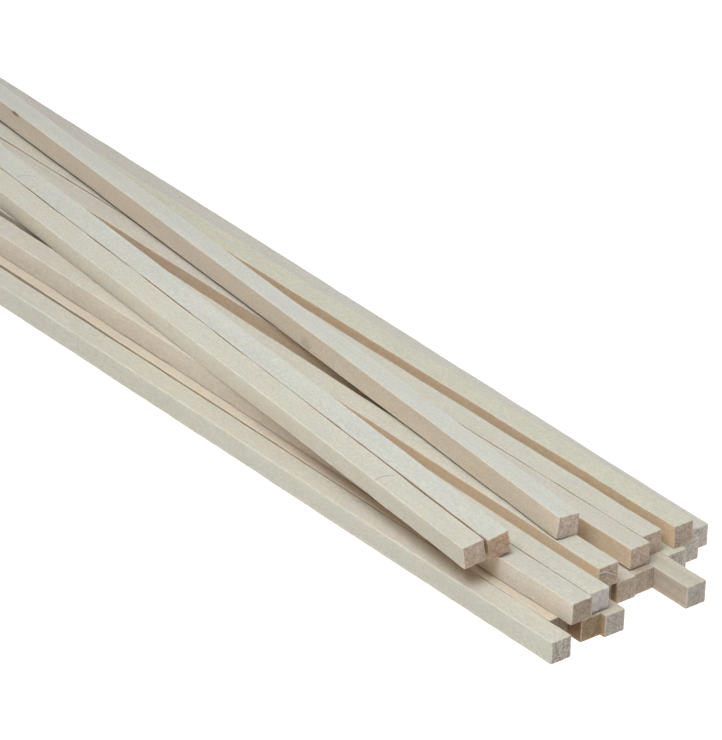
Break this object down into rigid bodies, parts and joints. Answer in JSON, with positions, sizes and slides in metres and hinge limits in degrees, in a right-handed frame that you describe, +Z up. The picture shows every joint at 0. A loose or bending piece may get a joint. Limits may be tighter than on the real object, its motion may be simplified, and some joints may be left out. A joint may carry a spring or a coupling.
{
  "type": "pile of square wooden strips",
  "caption": "Loose three-layer pile of straight square wooden strips for model making, laid roughly parallel with staggered sawn ends, each free to be drawn out along its length.",
  "frame": {"origin": "middle of the pile's footprint, on the surface that the pile lies on", "axes": "+X along the strips, towards the staggered sawn ends; +Z up; +Y across the pile"},
  "size_m": [0.325, 0.0644, 0.0164],
  "materials": {
    "cream_wood": "sawn and unfinished",
    "grey_wood": "sawn and unfinished",
    "pink_wood": "sawn and unfinished"
  },
  "bodies": {
    "bottom_strip_01": {"bottom_strip_01": "grey_wood"},
    "bottom_strip_02": {"bottom_strip_02": "cream_wood"},
    "bottom_strip_03": {"bottom_strip_03": "cream_wood"},
    "bottom_strip_04": {"bottom_strip_04": "cream_wood"},
    "bottom_strip_05": {"bottom_strip_05": "pink_wood"},
    "bottom_strip_06": {"bottom_strip_06": "cream_wood"},
    "bottom_strip_07": {"bottom_strip_07": "cream_wood"},
    "bottom_strip_08": {"bottom_strip_08": "grey_wood"},
    "bottom_strip_09": {"bottom_strip_09": "cream_wood"},
    "bottom_strip_10": {"bottom_strip_10": "cream_wood"},
    "bottom_strip_11": {"bottom_strip_11": "pink_wood"},
    "middle_strip_01": {"middle_strip_01": "pink_wood"},
    "middle_strip_02": {"middle_strip_02": "grey_wood"},
    "middle_strip_03": {"middle_strip_03": "cream_wood"},
    "middle_strip_04": {"middle_strip_04": "cream_wood"},
    "middle_strip_05": {"middle_strip_05": "pink_wood"},
    "middle_strip_06": {"middle_strip_06": "cream_wood"},
    "top_strip_01": {"top_strip_01": "grey_wood"},
    "top_strip_02": {"top_strip_02": "grey_wood"},
    "top_strip_03": {"top_strip_03": "pink_wood"}
  },
  "joints": [
    {"name": "bottom_strip_01_draw", "type": "slide", "parent": "bottom_strip_06", "child": "bottom_strip_01", "axis": [-1, -0.0035, 0], "range_m": [0, 0.1]},
    {"name": "bottom_strip_02_draw", "type": "slide", "parent": "bottom_strip_06", "child": "bottom_strip_02", "axis": [-1, 0, 0], "range_m": [0, 0.1]},
    {"name": "bottom_strip_03_draw", "type": "slide", "parent": "bottom_strip_06", "child": "bottom_strip_03", "axis": [-1, 0, 0], "range_m": [0, 0.1]},
    {"name": "bottom_strip_04_draw", "type": "slide", "parent": "bottom_strip_06", "child": "bottom_strip_04", "axis": [-1, 0, 0], "range_m": [0, 0.1]},
    {"name": "bottom_strip_05_draw", "type": "slide", "parent": "bottom_strip_06", "child": "bottom_strip_05", "axis": [-1, 0, 0], "range_m": [0, 0.1]},
    {"name": "bottom_strip_07_draw", "type": "slide", "parent": "bottom_strip_06", "child": "bottom_strip_07", "axis": [-1, 0, 0], "range_m": [0, 0.1]},
    {"name": "bottom_strip_08_draw", "type": "slide", "parent": "bottom_strip_06", "child": "bottom_strip_08", "axis": [-1, 0, 0], "range_m": [0, 0.1]},
    {"name": "bottom_strip_09_draw", "type": "slide", "parent": "bottom_strip_06", "child": "bottom_strip_09", "axis": [-1, 0, 0], "range_m": [0, 0.1]},
    {"name": "bottom_strip_10_draw", "type": "slide", "parent": "bottom_strip_06", "child": "bottom_strip_10", "axis": [-1, 0, 0], "range_m": [0, 0.1]},
    {"name": "bottom_strip_11_draw", "type": "slide", "parent": "bottom_strip_06", "child": "bottom_strip_11", "axis": [-0.9999, 0.014, 0], "range_m": [0, 0.1]},
    {"name": "middle_strip_01_draw", "type": "slide", "parent": "bottom_strip_06", "child": "middle_strip_01", "axis": [-1, 0.0017, 0], "range_m": [0, 0.1]},
    {"name": "middle_strip_02_draw", "type": "slide", "parent": "bottom_strip_06", "child": "middle_strip_02", "axis": [-1, 0.0087, 0], "range_m": [0, 0.1]},
    {"name": "middle_strip_03_draw", "type": "slide", "parent": "bottom_strip_06", "child": "middle_strip_03", "axis": [-0.9999, 0.0105, 0], "range_m": [0, 0.1]},
    {"name": "middle_strip_04_draw", "type": "slide", "parent": "bottom_strip_06", "child": "middle_strip_04", "axis": [-1, -0.0017, 0], "range_m": [0, 0.1]},
    {"name": "middle_strip_05_draw", "type": "slide", "parent": "bottom_strip_06", "child": "middle_strip_05", "axis": [-1, -0.0017, 0], "range_m": [0, 0.1]},
    {"name": "middle_strip_06_draw", "type": "slide", "parent": "bottom_strip_06", "child": "middle_strip_06", "axis": [-1, -0.0017, 0], "range_m": [0, 0.1]},
    {"name": "top_strip_01_draw", "type": "slide", "parent": "bottom_strip_06", "child": "top_strip_01", "axis": [-0.9959, 0.0906, 0], "range_m": [0, 0.1]},
    {"name": "top_strip_02_draw", "type": "slide", "parent": "bottom_strip_06", "child": "top_strip_02", "axis": [-0.9959, 0.0906, 0], "range_m": [0, 0.1]},
    {"name": "top_strip_03_draw", "type": "slide", "parent": "bottom_strip_06", "child": "top_strip_03", "axis": [-0.9962, 0.0872, 0], "range_m": [0, 0.1]}
  ]
}
